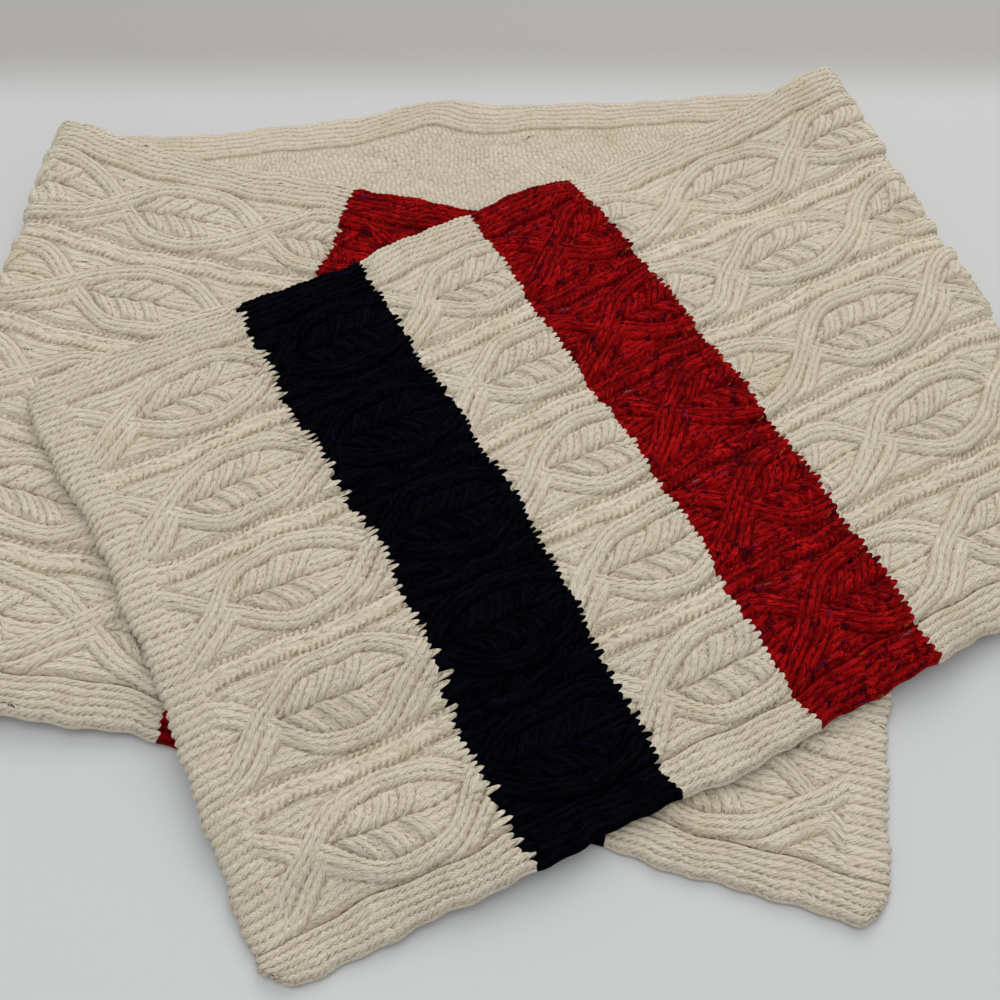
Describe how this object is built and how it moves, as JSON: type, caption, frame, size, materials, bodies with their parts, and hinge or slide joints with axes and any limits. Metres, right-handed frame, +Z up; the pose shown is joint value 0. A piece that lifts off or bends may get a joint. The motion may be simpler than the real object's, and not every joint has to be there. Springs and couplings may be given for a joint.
{
  "type": "knit scarf",
  "caption": "Wide cable-knit wool scarf laid flat with both ends folded over its middle, cream with a dark navy and a red stripe near each end.",
  "frame": {"origin": "middle of the bounding box, on the surface that the scarf lies on", "axes": "+Z up; +X to the right along the wide side, the hems point towards -Y"},
  "size_m": [0.5737, 0.5127, 0.0299],
  "materials": {
    "cream_wool": "matt hand-knit aran wool, undyed cream",
    "navy_wool": "matt hand-knit aran wool, blue-black with a few blue flecks",
    "red_wool": "matt hand-knit tweed wool, red with burgundy, navy and orange flecks"
  },
  "bodies": {
    "root": {"over_cream_end": "cream_wool", "over_navy_band": "navy_wool", "over_cream_mid": "cream_wool", "over_red_band": "red_wool", "over_cream_body": "cream_wool", "right_fold": "cream_wool", "back_stretch": "cream_wool", "left_fold": "cream_wool", "under_cream_body": "cream_wool", "under_red_band": "red_wool", "under_cream_mid": "cream_wool", "under_navy_band": "navy_wool", "under_cream_end": "cream_wool"}
  },
  "joints": []
}
